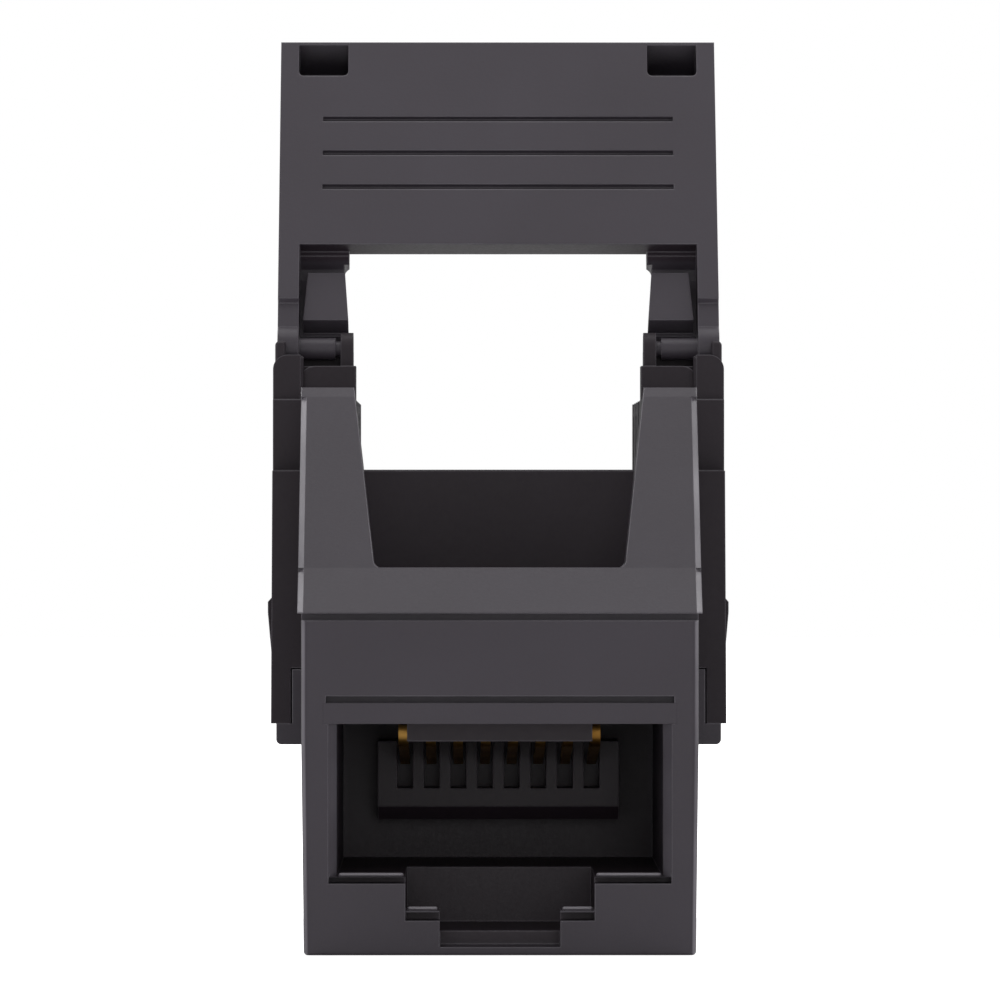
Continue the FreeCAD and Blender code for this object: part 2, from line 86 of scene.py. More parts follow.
def add_node(
    tree: bpy.types.NodeTree,
    kind: str,
    values: dict[str, Any] | None = None,
    links: dict[str, bpy.types.NodeSocket] | None = None,
    **settings: Any,
) -> bpy.types.Node:
    """Add one node with its settings, its socket values and its incoming links.

    Args:
        tree: the node tree that the node joins.
        kind: the node's type, such as "ShaderNodeBump".
        values: input socket name to value.
        links: input socket name to the output socket that feeds it.
        settings: attributes of the node itself.

    Returns:
        The new node.
    """
    node = tree.nodes.new(kind)
    for key, value in settings.items():
        setattr(node, key, value)
    for key, value in (values or {}).items():
        node.inputs[key].default_value = value
    for key, socket in (links or {}).items():
        tree.links.new(socket, node.inputs[key])
    return node


def new_material(name: str) -> tuple[bpy.types.Material, bpy.types.NodeTree]:
    """Make an empty node material.

    Args:
        name: the material's name.

    Returns:
        The material and its cleared node tree.
    """
    material = bpy.data.materials.new(name)
    material.use_nodes = True
    material.node_tree.nodes.clear()
    return material, material.node_tree


# ------------------------------------------------------------------ finishes
class Slot(Enum):
    """The record's material slots, one of which each moulded finish carries."""

    HOUSING = "housing_black"
    BLOCK = "block_black"
    CAP = "cap_black"


class Texture(Enum):
    """How the mould or die left a surface: grain size and relief in millimetres."""

    SPARK_ERODED = (0.11, 0.010)
    POLISHED_TOOL = (0.30, 0.004)
    AS_MOULDED = (0.16, 0.006)


@dataclass(frozen=True)
class PaintedShadeBox:
    """A box in millimetres, which may lean about x, inside which colour is painted shade.

    The walls inside it are drawn a little darker than the outside of the moulding, as
    painted shade for a deep recess. Only their colour differs.
    """

    low: tuple[float, float, float]
    high: tuple[float, float, float]
    blend_mm: float = 0.25
    pivot: tuple[float, float, float] = (0.0, 0.0, 0.0)
    lean_deg: float = 0.0

    def mask(self, tree: bpy.types.NodeTree, place: bpy.types.NodeSocket) -> bpy.types.NodeSocket:
        """Build the nodes that tell the walls in the painted shade from the outside.

        The mask is the smallest, over the three axes, of the half size less the distance
        from the middle, divided by the blend width and held between zero and one.

        Args:
            tree: the material's node tree.
            place: the object coordinates.

        Returns:
            A socket that is one on the walls in the painted shade and zero outside.
        """
        middle = tuple(-(a + b) / 2 * MM for a, b in zip(self.low, self.high))
        half = tuple((b - a) / 2 * MM for a, b in zip(self.low, self.high))
        centre = tuple(a * MM for a in self.pivot)
        level = add_node(tree, "ShaderNodeVectorRotate",
                         {"Center": centre, "Angle": -math.radians(self.lean_deg)},
                         {"Vector": place}, rotation_type="X_AXIS")
        moved = add_node(tree, "ShaderNodeVectorMath", {1: middle}, {0: level.outputs[0]}, operation="ADD")
        away = add_node(tree, "ShaderNodeVectorMath", None, {0: moved.outputs[0]},
                        operation="ABSOLUTE")
        inside = add_node(tree, "ShaderNodeVectorMath", {0: half}, {1: away.outputs[0]},
                          operation="SUBTRACT")
        axes = add_node(tree, "ShaderNodeSeparateXYZ", None, {0: inside.outputs[0]})
        least = add_node(tree, "ShaderNodeMath", None, {0: axes.outputs[0], 1: axes.outputs[1]},
                         operation="MINIMUM")
        least = add_node(tree, "ShaderNodeMath", None, {0: least.outputs[0], 1: axes.outputs[2]},
                         operation="MINIMUM")
        ramp = add_node(tree, "ShaderNodeMapRange", {"From Max": self.blend_mm * MM},
                        {"Value": least.outputs[0]})
        return ramp.outputs["Result"]


@dataclass(frozen=True)
class MouldedPlastic:
    """Black PC/ABS from an injection mould.

    Carbon black in a slightly glossy resin: dark with a soft sheen on the faces that
    look up, and a fine even grain from the spark-eroded tool.
    """

    name: str
    colour: str
    colour_worn: str
    roughness: float
    texture: Texture
    slot: Slot = Slot.HOUSING
    edge_mm: float = 0.09
    sheen_level: float = 0.3
    # painted shade: a box whose walls are drawn in the darker colour below
    painted_shade: PaintedShadeBox | None = None
    painted_shade_colour: str = "#312930"
    # paler edges, partly wear and partly painted highlight; the share on the rounds is painted highlight
    edge_wear_and_highlight_colour: str = "#7B777E"
    edge_wear_and_highlight: float = 0.55
    round_highlight: float = 0.0
    flow_mm: float = 4.5
    draw_line_mm: float = 0.14
    draw_stretch: float = 25.0
    gloss_range: tuple[float, float] = (-0.05, 0.06)
    polish: float = -0.2
    ior: float = 1.55

    def material(self) -> bpy.types.Material:
        """Build the node material for this moulding, once.

        Returns:
            The material, which every piece of this finish shares.
        """
        if self.name in bpy.data.materials:
            return bpy.data.materials[self.name]
        material, tree = new_material(self.name)
        grain_mm, relief_mm = self.texture.value
        place = add_node(tree, "ShaderNodeTexCoord").outputs["Object"]
        grain = add_node(tree, "ShaderNodeTexNoise",
                         {"Scale": 1 / (grain_mm * MM), "Detail": 3.0, "Roughness": 0.6},
                         {"Vector": place})
        flow = add_node(tree, "ShaderNodeTexNoise",
                        {"Scale": 1 / (self.flow_mm * MM), "Detail": 2.0, "Roughness": 0.5},
                        {"Vector": place})
        tone = add_node(tree, "ShaderNodeMapRange",
                        {"From Min": 0.3, "From Max": 0.7, "To Min": 0.0, "To Max": 0.55},
                        {"Value": flow.outputs["Fac"]})
        colour = add_node(tree, "ShaderNodeMix", {6: linear(self.colour), 7: linear(self.colour_worn)},
                          {"Factor": tone.outputs["Result"]}, data_type="RGBA")
        # painted shade: the walls inside the box take the darker colour
        if self.painted_shade:
            colour = add_node(tree, "ShaderNodeMix", {7: linear(self.painted_shade_colour)},
                              {"Factor": self.painted_shade.mask(tree, place), 6: colour.outputs[2]},
                              data_type="RGBA")
        eased = add_node(tree, "ShaderNodeBevel", {"Radius": self.edge_mm * MM}, samples=8)
        wear_and_highlight = self.worn_edges_and_highlights(tree, eased.outputs["Normal"], flow.outputs["Fac"])
        # paler edges: partly wear, partly painted highlight
        colour = add_node(tree, "ShaderNodeMix", {7: linear(self.edge_wear_and_highlight_colour)},
                          {"Factor": wear_and_highlight, 6: colour.outputs[2]}, data_type="RGBA")
        gloss = add_node(tree, "ShaderNodeMapRange",
                         {"From Min": 0.25, "From Max": 0.75,
                          "To Min": self.roughness + self.gloss_range[0],
                          "To Max": self.roughness + self.gloss_range[1]},
                         {"Value": grain.outputs["Fac"]})
        polish = add_node(tree, "ShaderNodeMath", {1: self.polish},
                          {0: wear_and_highlight, 2: gloss.outputs["Result"]}, operation="MULTIPLY_ADD")
        drawn = add_node(tree, "ShaderNodeMapping", {"Scale": (1.0, 1.0, 1 / self.draw_stretch)},
                         {"Vector": place})
        lines = add_node(tree, "ShaderNodeTexNoise",
                         {"Scale": 1 / (self.draw_line_mm * MM), "Detail": 2.0},
                         {"Vector": drawn.outputs["Vector"]})
        relief = add_node(tree, "ShaderNodeBump", {"Strength": 0.2, "Distance": relief_mm * MM},
                          {"Height": lines.outputs["Fac"], "Normal": eased.outputs["Normal"]})
        bump = add_node(tree, "ShaderNodeBump", {"Strength": 0.35, "Distance": relief_mm * MM},
                        {"Height": grain.outputs["Fac"], "Normal": relief.outputs["Normal"]})
        shader = add_node(tree, "ShaderNodeBsdfPrincipled",
                          {"IOR": self.ior, "Specular IOR Level": self.sheen_level},
                          {"Base Color": colour.outputs[2], "Roughness": polish.outputs["Value"],
                           "Normal": bump.outputs["Normal"]})
        add_node(tree, "ShaderNodeOutputMaterial", None, {"Surface": shader.outputs["BSDF"]})
        return material

    def worn_edges_and_highlights(
        self,
        tree: bpy.types.NodeTree,
        eased: bpy.types.NodeSocket,
        patches: bpy.types.NodeSocket,
    ) -> bpy.types.NodeSocket:
        """Build the nodes that find the edges drawn paler, partly as wear and partly as painted highlight.

        The edge measure, for wear and painted highlight alike, is one less the cosine between
        the eased normal and the face's own, stretched to full scale and broken up by the slow
        noise of the flow pattern. The moulded rounds between a front and a side get a painted
        highlight: for them the measure is x * x * (1 - x * x), where x is how far the normal
        looks sideways, and it is greatest half-way round.

        Args:
            tree: the material's node tree.
            eased: the normal of the rounded edge.
            patches: a slow noise.

        Returns:
            A socket from zero on the flats to edge_wear_and_highlight on the edges and round_highlight on
            the rounds.
        """
        flat = add_node(tree, "ShaderNodeNewGeometry")
        cosine = add_node(tree, "ShaderNodeVectorMath", None,
                          {0: eased, 1: flat.outputs["True Normal"]}, operation="DOT_PRODUCT")
        # wear and painted highlight start where the edge has turned by about 6 degrees and are full at
        # about 37
        edge = add_node(tree, "ShaderNodeMapRange",
                        {"From Min": 0.995, "From Max": 0.80, "To Max": self.edge_wear_and_highlight},
                        {"Value": cosine.outputs["Value"]})
        uneven = add_node(tree, "ShaderNodeMapRange",
                          {"From Min": 0.3, "From Max": 0.6, "To Min": 0.5, "To Max": 1.0},
                          {"Value": patches})
        worn_and_lit = edge.outputs["Result"]
        if self.round_highlight:
            sideways = add_node(tree, "ShaderNodeSeparateXYZ", None, {0: eased}).outputs["X"]
            square = add_node(tree, "ShaderNodeMath", None, {0: sideways, 1: sideways},
                              operation="MULTIPLY")
            rest = add_node(tree, "ShaderNodeMath", {0: 1.0}, {1: square.outputs[0]},
                            operation="SUBTRACT")
            halfway = add_node(tree, "ShaderNodeMath", None, {0: square.outputs[0], 1: rest.outputs[0]},
                               operation="MULTIPLY")
            # painted highlight on the rounds: full between about 35 and 55 degrees, none below 20 or above
            # 70
            lit_rounds = add_node(tree, "ShaderNodeMapRange",
                              {"From Min": 0.10, "From Max": 0.22, "To Max": self.round_highlight},
                              {"Value": halfway.outputs[0]})
            worn_and_lit = add_node(tree, "ShaderNodeMath", None, {0: worn_and_lit, 1: lit_rounds.outputs["Result"]},
                            operation="MAXIMUM").outputs[0]
        wear_and_highlight = add_node(tree, "ShaderNodeMath", None,
                        {0: worn_and_lit, 1: uneven.outputs["Result"]}, operation="MULTIPLY")
        return wear_and_highlight.outputs["Value"]


@dataclass(frozen=True)
class PlatedMetal:
    """Phosphor bronze with a plated skin: drawn or stamped, so it has fine lines along it."""

    name: str
    colour: str
    colour_dull: str
    roughness: float
    line_mm: float
    line_squash: float = 0.12
    cloud_mm: float = 1.6
    relief_mm: float = 0.002
    gloss_range: tuple[float, float] = (-0.05, 0.08)

    def material(self) -> bpy.types.Material:
        """Build the node material for this metal.

        Returns:
            The material.
        """
        material, tree = new_material(self.name)
        place = add_node(tree, "ShaderNodeTexCoord").outputs["Object"]
        lines = add_node(tree, "ShaderNodeMapping",
                         {"Scale": (1.0, self.line_squash, self.line_squash)}, {"Vector": place})
        drawn = add_node(tree, "ShaderNodeTexNoise", {"Scale": 1 / (self.line_mm * MM), "Detail": 2.0},
                         {"Vector": lines.outputs["Vector"]})
        cloud = add_node(tree, "ShaderNodeTexNoise", {"Scale": 1 / (self.cloud_mm * MM), "Detail": 2.0},
                         {"Vector": place})
        tint = add_node(tree, "ShaderNodeMapRange", {"From Min": 0.35, "From Max": 0.7},
                        {"Value": cloud.outputs["Fac"]})
        colour = add_node(tree, "ShaderNodeMix", {6: linear(self.colour), 7: linear(self.colour_dull)},
                          {"Factor": tint.outputs["Result"]}, data_type="RGBA")
        gloss = add_node(tree, "ShaderNodeMapRange",
                         {"To Min": self.roughness + self.gloss_range[0],
                          "To Max": self.roughness + self.gloss_range[1]},
                         {"Value": drawn.outputs["Fac"]})
        bump = add_node(tree, "ShaderNodeBump", {"Strength": 0.2, "Distance": self.relief_mm * MM},
                        {"Height": drawn.outputs["Fac"]})
        shader = add_node(tree, "ShaderNodeBsdfPrincipled", {"Metallic": 1.0},
                          {"Base Color": colour.outputs[2], "Roughness": gloss.outputs["Result"],
                           "Normal": bump.outputs["Normal"]})
        add_node(tree, "ShaderNodeOutputMaterial", None, {"Surface": shader.outputs["BSDF"]})
        return material


@dataclass(frozen=True)
class BoardLaminate:
    """Glass-cloth epoxy board under solder mask.

    The mask is a smooth dark green lacquer. The threads of the glass cloth, about 0.4 mm
    apart, show through it as a faint square weave, drawn a little stronger than it is.
    """

    name: str
    colour: str
    colour_thread: str
    roughness: float
    thread_mm: float = 0.4
    relief_mm: float = 0.01

    def material(self) -> bpy.types.Material:
        """Build the node material for the board.

        Returns:
            The material.
        """
        material, tree = new_material(self.name)
        place = add_node(tree, "ShaderNodeTexCoord").outputs["Object"]
        axes = add_node(tree, "ShaderNodeSeparateXYZ", None, {"Vector": place})
        waves = []
        for axis in ("X", "Y"):
            turns = add_node(tree, "ShaderNodeMath", {1: 2 * math.pi / (self.thread_mm * MM)},
                             {0: axes.outputs[axis]}, operation="MULTIPLY")
            waves.append(add_node(tree, "ShaderNodeMath", None, {0: turns.outputs[0]}, operation="SINE"))
        weave = add_node(tree, "ShaderNodeMath", None, {0: waves[0].outputs[0], 1: waves[1].outputs[0]},
                         operation="MULTIPLY")
        shade = add_node(tree, "ShaderNodeMapRange", {"From Min": -1.0, "From Max": 1.0},
                         {"Value": weave.outputs[0]})
        colour = add_node(tree, "ShaderNodeMix", {6: linear(self.colour), 7: linear(self.colour_thread)},
                          {"Factor": shade.outputs["Result"]}, data_type="RGBA")
        bump = add_node(tree, "ShaderNodeBump", {"Strength": 0.15, "Distance": self.relief_mm * MM},
                        {"Height": shade.outputs["Result"]})
        shader = add_node(tree, "ShaderNodeBsdfPrincipled", {"IOR": 1.5, "Roughness": self.roughness},
                          {"Base Color": colour.outputs[2], "Normal": bump.outputs["Normal"]})
        add_node(tree, "ShaderNodeOutputMaterial", None, {"Surface": shader.outputs["BSDF"]})
        return material


# Painted shade in the plug's cavity: its walls are drawn darker, short of the front so
# that the rim keeps the outer colour.
PORT_PAINTED_SHADE = PaintedShadeBox((-5.98, 0.3, 0.2), (5.98, 15.2, 9.6))
# Painted shade on the upper edge of the cap's window, leaning with the open cap.
WINDOW_PAINTED_SHADE = PaintedShadeBox(
    (-8.0, 15.9, 20.0), (8.0, 16.6, 23.22), blend_mm=0.08, pivot=(0.0, 12.0, 22.34), lean_deg=63.0,
)

# PC/ABS off a spark-eroded tool: near black with a violet cast, a fine even grain that
# spreads the light into a soft sheen, paler edges that are partly wear where hands and
# plugs have rubbed and partly painted highlight, a painted highlight on the rounds, and
# painted shade on the port's inner walls.
HOUSING = MouldedPlastic(
    "moulded_pc_abs_housing", "#363138", "#3B363E", roughness=0.50,
    texture=Texture.SPARK_ERODED, painted_shade=PORT_PAINTED_SHADE, round_highlight=0.8,
)
# The same plastic on thin trim: neither wear nor painted highlight on its edges.
BROW = MouldedPlastic(
    "moulded_pc_abs_brow", "#363138", "#3B363E", roughness=0.50,
    texture=Texture.SPARK_ERODED, edge_mm=0.03, edge_wear_and_highlight=0.0,
)
# PC/ABS straight off a plain tool: darker and duller than the housing. The darker colour
# is also painted shade, so that the block behind the latch and cap falls back from the front.
BLOCK = MouldedPlastic(
    "moulded_pc_abs_block", "#292328", "#2D272D", roughness=0.55,
    texture=Texture.AS_MOULDED, slot=Slot.BLOCK, sheen_level=0.2,
)
# PC/ABS for the cap: a shade lighter than the housing, as painted light on the cap's panel
# and pads, with the same grain.
CAP = MouldedPlastic(
    "moulded_pc_abs_cap", "#3C373E", "#413C44", roughness=0.50,
    texture=Texture.SPARK_ERODED, slot=Slot.CAP, painted_shade=WINDOW_PAINTED_SHADE, round_highlight=0.35,
)
# PBT off a polished tool: about as dark as the block and smoother, with a faint gloss
# between the contacts.
CARRIER = MouldedPlastic(
    "moulded_pbt_carrier", "#2A2429", "#2E282D", roughness=0.48,
    texture=Texture.POLISHED_TOOL, sheen_level=0.2,
)
# PC/ABS drawn grey and glossy as a painted highlight, so that a lip draws a light line.
LIP_HIGHLIGHT = MouldedPlastic(
    "pc_abs_lip_painted_highlight", "#6E6A70", "#8A868C", roughness=0.30,
    texture=Texture.POLISHED_TOOL, edge_mm=0.05,
)
# Hard gold over nickel on phosphor bronze: warm yellow drawn darker as painted shade for
# the contacts deep in the port, with fine lines where it was drawn.
SHADED_GOLD = PlatedMetal("gold_plated_phosphor_bronze_painted_shade", "#92703A", "#775526", roughness=0.38, line_mm=0.05)
# Glass-epoxy under solder mask: dark glossy green over a faint square weave.
BOARD = BoardLaminate("solder_masked_glass_epoxy", "#16402C", "#1D4D36", roughness=0.35)
# Matt tin on stamped phosphor bronze: cool light grey, clouded, with soft reflections.
TIN = PlatedMetal("tin_plated_phosphor_bronze", "#B9BABC", "#9FA0A3", roughness=0.34, line_mm=0.08)


# ------------------------------------------------------------------ mouldings
@dataclass
class Moulding:
    """One rigid piece that keeps its solid and gets its finish."""

    node: str
    finish: MouldedPlastic | BoardLaminate

    def dress(self, frame: dict[str, Any]) -> None:
        """Give the solid its finish.
        """
        mesh = frame["nodes"][self.node].data
        mesh.materials.clear()
        mesh.materials.append(self.finish.material())
        LOG.info("%s in %s", self.node, self.finish.name)


@dataclass
class MetalSet:
    """A set of equal metal pieces that keep their solids: only the finish is new."""

    nodes: list[str]
    finish: PlatedMetal

    def dress(self, frame: dict[str, Any]) -> None:
        """Give every piece of the set its plated finish.
        """
        material = self.finish.material()
        for node in self.nodes:
            mesh = frame["nodes"][node].data
            mesh.materials.clear()
            mesh.materials.append(material)
        LOG.info("%s on %d pieces", self.finish.name, len(self.nodes))


# ------------------------------------------------------------------ small moulded forms
def rounded_outline(
    width: float,
    height: float,
    radii: tuple[float, float, float, float],
    inset: float,
) -> np.ndarray:
    """Work out a rectangle with four rounded corners, drawn in by an inset.

    Each corner is a quarter circle about a fixed centre, whose radius is the corner's own
    less the inset: centre + radius * (cos t, sin t) for t over a quarter turn.

    Args:
        width: size along the first axis.
        height: size along the second axis.
        radii: corner radii, counter-clockwise from the upper right one.
        inset: how far the outline is drawn in.

    Returns:
        Points of the outline, counter-clockwise, as rows of two numbers.
    """
    quarter = np.linspace(0.0, math.pi / 2, 7)
    runs = []
    for turn, (side_x, side_y), radius in zip(range(4), ((1, 1), (-1, 1), (-1, -1), (1, -1)), radii):
        centre = np.array([side_x * (width / 2 - radius), side_y * (height / 2 - radius)])
        angle = quarter + turn * math.pi / 2
        runs.append(centre + (radius - inset) * np.stack([np.cos(angle), np.sin(angle)], axis=1))
    return np.concatenate(runs)


def tube_faces(rings: int, around: int) -> list[list[int]]:
    """List the faces between stacked rings, with one face over each end.

    Args:
        rings: how many rings there are.
        around: how many points each ring has.

    Returns:
        The faces as lists of point numbers.
    """
    row, column = np.meshgrid(np.arange(rings - 1), np.arange(around), indexing="ij")
    after = (column + 1) % around
    quads = np.stack([row * around + column, row * around + after,
                      (row + 1) * around + after, (row + 1) * around + column], axis=-1)
    ends = [list(range(around))[::-1], list(range((rings - 1) * around, rings * around))]
    return quads.reshape(-1, 4).tolist() + ends


def add_piece(
    name: str,
    points: np.ndarray,
    faces: list[list[int]],
    finish: MouldedPlastic,
    body: str,
) -> None:
    """Make one mesh piece, give it its finish and let it ride on its body.

    Args:
        name: the piece's name.
        points: its points in metres, as rows of three numbers.
        faces: its faces.
        finish: the plastic that it is moulded in.
        body: the body that it moves with.
    """
    mesh = bpy.data.meshes.new(name)
    mesh.from_pydata(points.tolist(), [], faces)
    mesh.materials.append(finish.material())
    piece = bpy.data.objects.new(name, mesh)
    bpy.context.scene.collection.objects.link(piece)
    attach(piece, body)
    LOG.info("%s: %d faces on %s", name, len(faces), body)


@dataclass
class StandingPlate:
    """A thin upright wall that faces the port side, with rounded corners and eased rims.

    Its outline lies in x and z. It is stacked from back to front, and the outermost
    layers are drawn in by the ease. All sizes are in millimetres.
    """

    name: str
    middle_x: float
    width: float
    z_range: tuple[float, float]
    y_range: tuple[float, float]
    finish: MouldedPlastic
    radii: tuple[float, float, float, float] = (0.07, 0.07, 0.07, 0.07)
    ease: float = 0.06

    def build(self, body: str) -> None:
        """Build the wall as a piece of its own.

        Args:
            body: the body that it moves with.
        """
        front, back = self.y_range
        foot, top = self.z_range
        layers = ((back, self.ease), (back - self.ease, 0.0), (front + self.ease, 0.0),
                  (front, self.ease))
        rings = []
        for y, inset in layers:
            flat = rounded_outline(self.width, top - foot, self.radii, inset)
            rings.append(np.stack([flat[:, 0] + self.middle_x, np.full(len(flat), y),
                                   flat[:, 1] + (foot + top) / 2], axis=1))
        add_piece(self.name, np.concatenate(rings) * MM, tube_faces(len(rings), len(rings[0])),
                  self.finish, body)


@dataclass
class HingeShields:
    """Two thin walls on each hinge support, which stand up in front of the cap's barrel.

    The outer one is the cheek beside the barrel, the inner one closes the running gap.
    Each row of walls gives the name, how far out its middle is, its width and its top.
    """

    walls: tuple[tuple[str, float, float, float], ...] = (
        ("cheek", 8.27, 0.40, 22.62),
        ("gap_lip", 7.53, 0.28, 22.05),
    )
    foot_z: float = 20.7
    y_range: tuple[float, float] = (10.66, 11.03)
    outer_radius: float = 0.17
    radius: float = 0.08

    def build(self) -> None:
        """Build the walls on both sides."""
        for name, middle, width, top in self.walls:
            for hand, side in (("left", -1), ("right", 1)):
                right, left = self.outer_radius, self.radius
                if side < 0:
                    right, left = left, right
                StandingPlate("hinge_%s_%s" % (name, hand), side * middle, width, (self.foot_z, top),
                              self.y_range, BLOCK, (right, left, self.radius, self.radius)).build("jack")


@dataclass
class BandTrim:
    """What closes the front of the carrier's slide.

    The brow is flush with the band, the groove is the recessed floor of the line above it.
    """

    brow_width: float = 12.9
    brow_z: tuple[float, float] = (8.435, 9.19)
    brow_y: tuple[float, float] = (-0.006, 0.25)
    groove_width: float = 12.74
    groove_z: tuple[float, float] = (9.17, 9.46)
    groove_y: tuple[float, float] = (0.38, 0.70)
    radius: float = 0.01
    ease: float = 0.004

    def build(self) -> None:
        """Build the brow over the carrier's edge, and the floor of the groove."""
        radii = (self.radius,) * 4
        StandingPlate("port_brow", 0.0, self.brow_width, self.brow_z, self.brow_y,
                      BROW, radii, self.ease).build("jack")
        StandingPlate("band_groove", 0.0, self.groove_width, self.groove_z, self.groove_y,
                      BROW, radii, self.ease).build("jack")


@dataclass
class PortLipHighlights:
    """The rounded lips on the port's steps, drawn pale and glossy as a painted highlight.

    Each row of steps gives the name, how far out the lip starts and ends, and its foot.
    """

    steps: tuple[tuple[str, float, float, float], ...] = (
        ("ledge", 3.52, 5.88, 2.84),
        ("step", 2.28, 3.38, 1.61),
    )
    height: float = 0.15
    y_range: tuple[float, float] = (0.28, 0.52)

    def build(self) -> None:
        """Build a lip on each step, on both sides of the latch notch."""
        for name, inner, outer, floor in self.steps:
            for hand, side in (("left", -1), ("right", 1)):
                StandingPlate("port_%s_%s" % (name, hand), side * (inner + outer) / 2, outer - inner,
                              (floor, floor + self.height), self.y_range, LIP_HIGHLIGHT).build("jack")


@dataclass
class EjectorMarks:
    """The shallow round marks that ejector pins leave on the face of a moulding."""

    name: str
    body: str
    finish: MouldedPlastic
    origin: tuple[float, float, float]
    along: tuple[float, float, float]
    normal: tuple[float, float, float]
    places: tuple[tuple[float, float], ...]
    radius: float = 0.8
    proud: float = 0.035
    groove: float = 0.07
    sunk: float = 0.03
    around: int = 40

    def section(self) -> tuple[tuple[float, float], ...]:
        """Work out the mark's section as pairs of radius and height above the face.

        Returns:
            Points from the sunk outer rim, over a low ring and the groove, to the disc.
        """
        ring = self.proud * 0.6
        return (
            (self.radius + 0.09, -self.sunk),
            (self.radius + 0.06, ring),
            (self.radius, ring),
            (self.radius - 0.03, 0.004),
            (self.radius - self.groove, 0.004),
            (self.radius - 0.10, self.proud),
        )

    def build(self) -> None:
        """Build one mark at each place.

        A point is origin + (u + r cos t) * x + (v + r sin t) * along + h(r) * normal, where
        the radius r and the height h follow the section, for t over a full turn.
        """
        x_axis = np.array([1.0, 0.0, 0.0])
        along, normal = np.array(self.along), np.array(self.normal)
        angle = np.linspace(0.0, 2 * math.pi, self.around + 1)[:-1]
        for number, (u, v) in enumerate(self.places):
            rings = []
            for radius, height in self.section():
                middle = np.array(self.origin) + u * x_axis + v * along + height * normal
                spoke = np.cos(angle)[:, None] * x_axis + np.sin(angle)[:, None] * along
                rings.append(middle + radius * spoke)
            if np.dot(np.cross(x_axis, along), normal) < 0:
                rings = [ring[::-1] for ring in rings]
            add_piece("%s_%d" % (self.name, number + 1), np.concatenate(rings) * MM,
                      tube_faces(len(rings), self.around), self.finish, self.body)


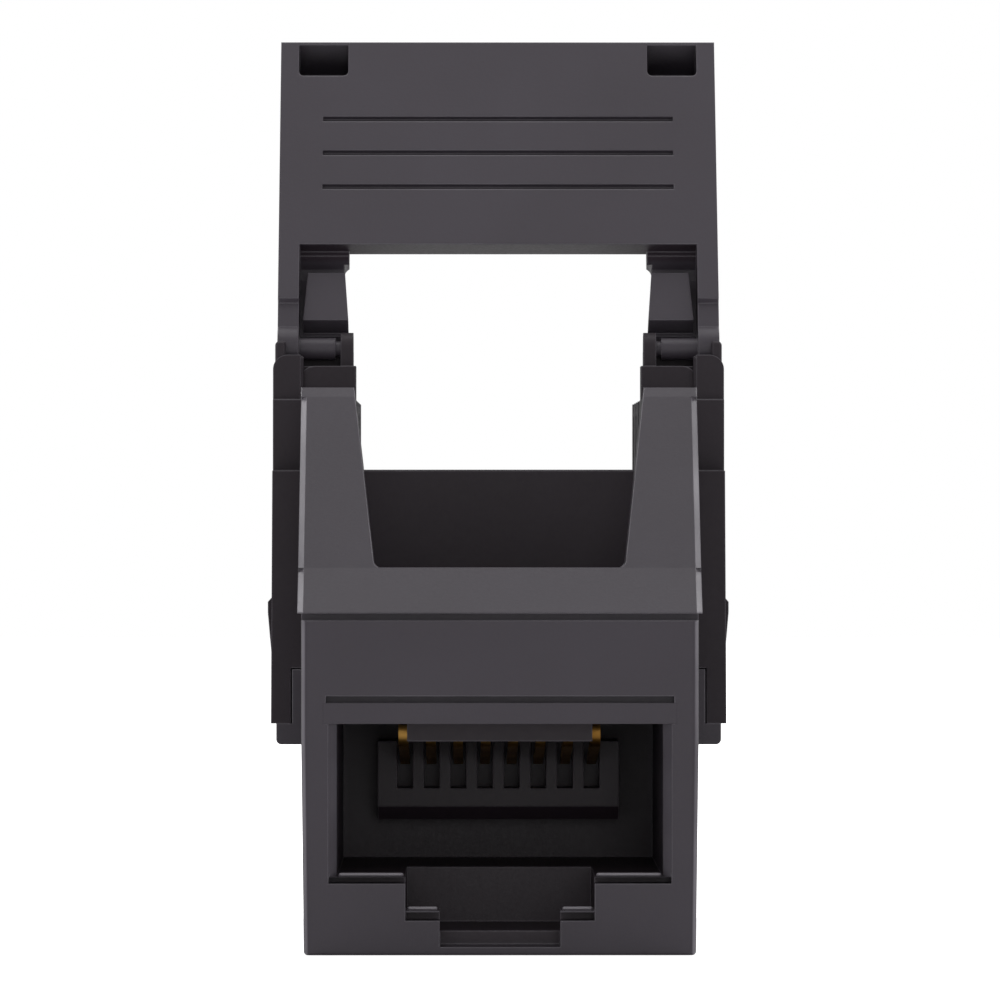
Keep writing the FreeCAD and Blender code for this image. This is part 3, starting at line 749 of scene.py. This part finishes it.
# ------------------------------------------------------------------ studio
@dataclass
class Studio:
    """Pale floor, soft lamps, and the camera level with the middle of the jack.

    Lengths are in metres. Each row of lamps gives the name, the place, the edge length of
    the square lamp and its power in watts.
    """

    distance: float = 0.260
    azimuth_deg: float = -0.3
    eye_height: float = 0.01659
    view_width: float = 0.03643
    aim_y: float = 0.01
    ambient: float = 0.36
    floor_radius: float = 0.6
    floor_drop: float = 0.00002
    floor_glow: float = 0.75
    lamps: list[tuple[str, tuple[float, float, float], float, float]] = field(default_factory=lambda: [
        ("key", (-0.06, -0.30, 0.20), 0.20, 0.13),
        ("fill", (0.03, -0.40, 0.05), 0.10, 0.11),
        ("top", (0.00, 0.00, 0.36), 0.30, 0.62),
        ("rim_left", (-0.20, 0.16, 0.22), 0.14, 0.40),
        ("rim_right", (0.20, 0.16, 0.22), 0.14, 0.40),
    ])

    def build(self) -> None:
        """Set up world, floor, lamps and camera."""
        self.world()
        self.floor()
        for name, place, size, watts in self.lamps:
            self.lamp(name, Vector(place), size, watts)
        self.camera()
        bpy.context.scene.view_settings.view_transform = "Standard"

    def world(self) -> None:
        """Make the world white to the camera and a dim even light for everything else."""
        world = bpy.data.worlds.new("studio")
        world.use_nodes = True
        tree = world.node_tree
        tree.nodes.clear()
        path = add_node(tree, "ShaderNodeLightPath")
        seen = add_node(tree, "ShaderNodeMath", None,
                        {0: path.outputs["Is Camera Ray"], 1: path.outputs["Is Transmission Ray"]},
                        operation="MAXIMUM")
        strength = add_node(tree, "ShaderNodeMapRange", {"To Min": self.ambient, "To Max": 1.0},
                            {"Value": seen.outputs["Value"]})
        light = add_node(tree, "ShaderNodeBackground", {"Color": (1, 1, 1, 1)},
                         {"Strength": strength.outputs["Result"]})
        add_node(tree, "ShaderNodeOutputWorld", None, {"Surface": light.outputs["Background"]})
        bpy.context.scene.world = world

    def floor(self) -> None:
        """Lay a round pale floor just under the jack: radius * (cos t, sin t) over a full turn."""
        angles = np.linspace(0.0, 2 * math.pi, 65)[:-1]
        rim = np.stack([np.cos(angles) * self.floor_radius, np.sin(angles) * self.floor_radius,
                        np.full(len(angles), -self.floor_drop)], axis=1)
        mesh = bpy.data.meshes.new("floor")
        mesh.from_pydata(rim.tolist(), [], [list(range(len(angles)))])
        floor = bpy.data.objects.new("floor", mesh)
        bpy.context.scene.collection.objects.link(floor)
        material, tree = new_material("pale_card")
        path = add_node(tree, "ShaderNodeLightPath")
        card = add_node(tree, "ShaderNodeBsdfDiffuse", {"Color": linear("#F4F4F4")})
        bright = add_node(tree, "ShaderNodeEmission",
                          {"Color": (1, 1, 1, 1), "Strength": self.floor_glow})
        both = add_node(tree, "ShaderNodeAddShader", None, {0: card.outputs[0], 1: bright.outputs[0]})
        mix = add_node(tree, "ShaderNodeMixShader", None,
                       {0: path.outputs["Is Camera Ray"], 1: card.outputs[0], 2: both.outputs[0]})
        add_node(tree, "ShaderNodeOutputMaterial", None, {"Surface": mix.outputs[0]})
        mesh.materials.append(material)

    def lamp(self, name: str, place: Vector, size: float, watts: float) -> None:
        """Add one soft square lamp that looks at the middle of the jack.

        Args:
            name: the lamp's name.
            place: where it hangs, in metres.
            size: its edge length.
            watts: its power.
        """
        data = bpy.data.lights.new(name, "AREA")
        data.size = size
        data.energy = watts
        lamp = bpy.data.objects.new(name, data)
        lamp.location = place
        aim = Vector((0, self.aim_y, self.eye_height)) - place
        lamp.rotation_euler = aim.to_track_quat("-Z", "Y").to_euler()
        bpy.context.scene.collection.objects.link(lamp)

    def camera(self) -> None:
        """Set a long lens level and almost square on to the port."""
        data = bpy.data.cameras.new("camera")
        data.sensor_width = 36.0
        data.lens = data.sensor_width * self.distance / self.view_width
        data.clip_start = 0.01
        data.clip_end = 10.0
        turn = math.radians(self.azimuth_deg)
        target = Vector((0, 0, self.eye_height))
        camera = bpy.data.objects.new("camera", data)
        camera.location = target + Vector((math.sin(turn), -math.cos(turn), 0)) * self.distance
        camera.rotation_euler = (target - camera.location).to_track_quat("-Z", "Y").to_euler()
        bpy.context.scene.collection.objects.link(camera)
        bpy.context.scene.camera = camera


# ------------------------------------------------------------------ the jack
@dataclass
class KeystoneJack:
    """The whole jack: which finish each node wears and which small forms are added."""

    ways: int = 8
    finishes: tuple[tuple[str, MouldedPlastic | BoardLaminate], ...] = (
        ("jack_housing", HOUSING),
        ("terminal_block", BLOCK),
        ("contact_carrier", CARRIER),
        ("termination_cap", CAP),
        ("circuit_board", BOARD),
    )
    skin_mm: float = 0.35
    lid_places: tuple[tuple[float, float], ...] = ((-4.2, 6.2), (4.2, 6.2), (-4.2, 10.8), (4.2, 10.8))
    base_places: tuple[tuple[float, float], ...] = ((-5.2, 11.0), (5.2, 11.0), (-5.2, 21.5), (5.2, 21.5))
    base_proud: float = 0.012

    def build(self, frame: dict[str, Any]) -> None:
        """Dress the nodes and add the small forms.
        """
        for node, finish in self.finishes:
            Moulding(node, finish).dress(frame)
        MetalSet(["contact_%d" % (i + 1) for i in range(self.ways)], SHADED_GOLD).dress(frame)
        MetalSet(["idc_terminal_%d" % (i + 1) for i in range(self.ways)], TIN).dress(frame)
        HingeShields().build()
        BandTrim().build()
        PortLipHighlights().build()
        self.mark(frame["joints"][0])

    def mark(self, hinge: dict[str, Any]) -> None:
        """Put the ejector marks inside the lid, which stands open at rest, and underneath.

        The inside of the lid lies one skin below the hinge's axis, square to the lean.

        Args:
            hinge: the frame's row for the cap's joint.
        """
        lean = math.radians(hinge["range_deg"][1])
        axis_y, axis_z = hinge["pos_m"][1] / MM, hinge["pos_m"][2] / MM
        along = (0.0, math.cos(lean), math.sin(lean))
        inward = (0.0, math.sin(lean), -math.cos(lean))
        inside = (0.0, axis_y + self.skin_mm * inward[1], axis_z + self.skin_mm * inward[2])
        EjectorMarks("lid_mark", "cap", CAP, inside, along, inward, self.lid_places).build()
        EjectorMarks("base_mark", "jack", HOUSING, (0.0, 0.0, 0.0), (0.0, 1.0, 0.0), (0.0, 0.0, -1.0),
                     self.base_places, proud=self.base_proud).build()


def main() -> None:
    """Dress the jack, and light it."""
    logging.basicConfig(level=logging.INFO, format="%(name)s: %(message)s")
    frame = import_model()
    KeystoneJack().build(frame)
    Studio().build()


if __name__ == "__main__":
    main()
